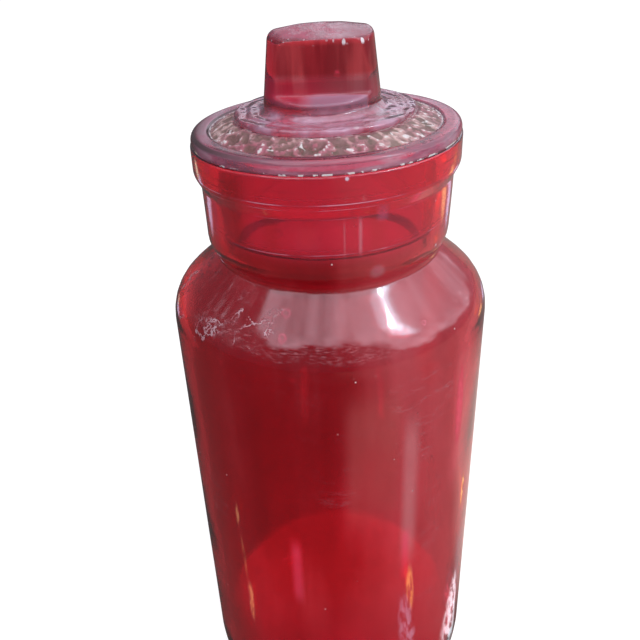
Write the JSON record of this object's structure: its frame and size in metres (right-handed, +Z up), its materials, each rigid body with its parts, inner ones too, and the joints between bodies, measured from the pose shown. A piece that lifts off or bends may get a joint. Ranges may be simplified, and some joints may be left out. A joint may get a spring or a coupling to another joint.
{
  "type": "glass jar with stopper lid",
  "caption": "Tall round glass jar with a sloped shoulder, a short wide neck and a lift-out hollow stopper lid with a flat-sided grip.",
  "frame": {"origin": "centre of the base, on the surface the jar stands on", "axes": "+Z up along the jar's axis, -Y towards the viewer, facing one of the grip's two flats"},
  "size_m": [0.1148, 0.1148, 0.2876],
  "materials": {
    "ruby_glass_body": "smooth fire-polished, faint ripples and seeds",
    "ruby_glass_stopper": "smooth bead, crinkled trough, ground plug",
    "ruby_glass_grip": "smooth pressed, faint draw lines"
  },
  "bodies": {
    "jar": {"jar_body": "ruby_glass_body"},
    "lid": {"lid_stopper": "ruby_glass_stopper", "lid_grip": "ruby_glass_grip"}
  },
  "joints": [
    {"name": "lid_lift", "type": "slide", "parent": "jar", "child": "lid", "axis": [0, 0, 1], "range_m": [0, 0.05]}
  ]
}
